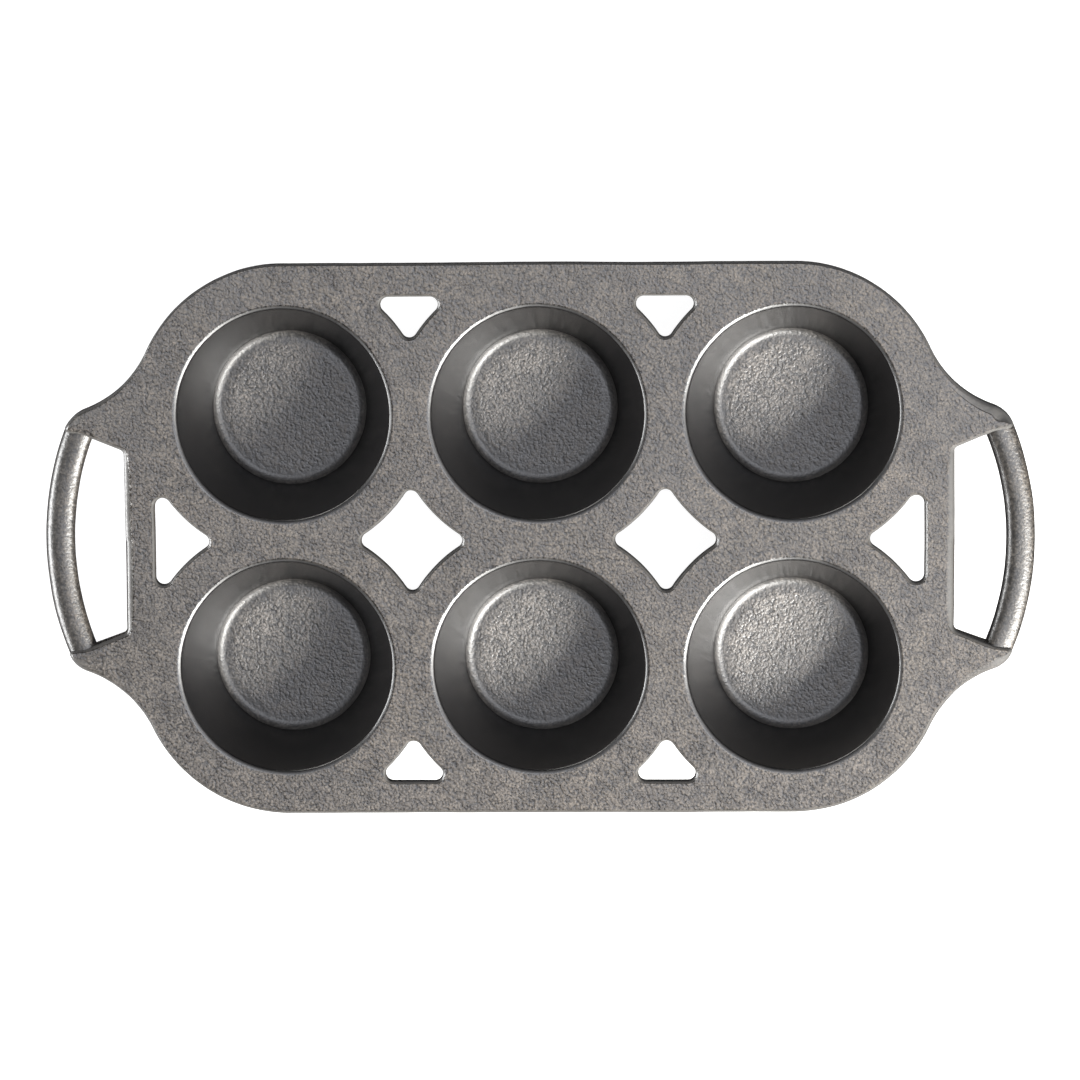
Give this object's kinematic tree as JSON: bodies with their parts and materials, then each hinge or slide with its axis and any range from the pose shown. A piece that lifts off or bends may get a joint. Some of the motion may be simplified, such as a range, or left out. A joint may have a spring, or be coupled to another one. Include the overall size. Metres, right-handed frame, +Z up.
{
  "type": "muffin pan",
  "caption": "Flat cast-iron muffin pan: conical baking cups hang from a pierced deck plate with rounded corners and a bowed bar handle at each end.",
  "frame": {"origin": "on the surface the pan stands on, midway between the six cup bottoms", "axes": "+Z up out of the cups, +X along the rows of three towards one handle, +Y across the two rows"},
  "size_m": [0.39, 0.2188, 0.0375],
  "materials": {
    "iron_deck": "seasoned sand-cast skin, pebbled, satin, grey-brown",
    "iron_cup": "seasoned, smooth satin black wall with a pebbled grey floor",
    "iron_handle": "seasoned, smoothed by fettling, satin gloss"
  },
  "bodies": {
    "root": {"deck_plate": "iron_deck", "cup_back_left": "iron_cup", "cup_back_centre": "iron_cup", "cup_back_right": "iron_cup", "cup_front_left": "iron_cup", "cup_front_centre": "iron_cup", "cup_front_right": "iron_cup", "handle_left": "iron_handle", "handle_right": "iron_handle"}
  },
  "joints": []
}
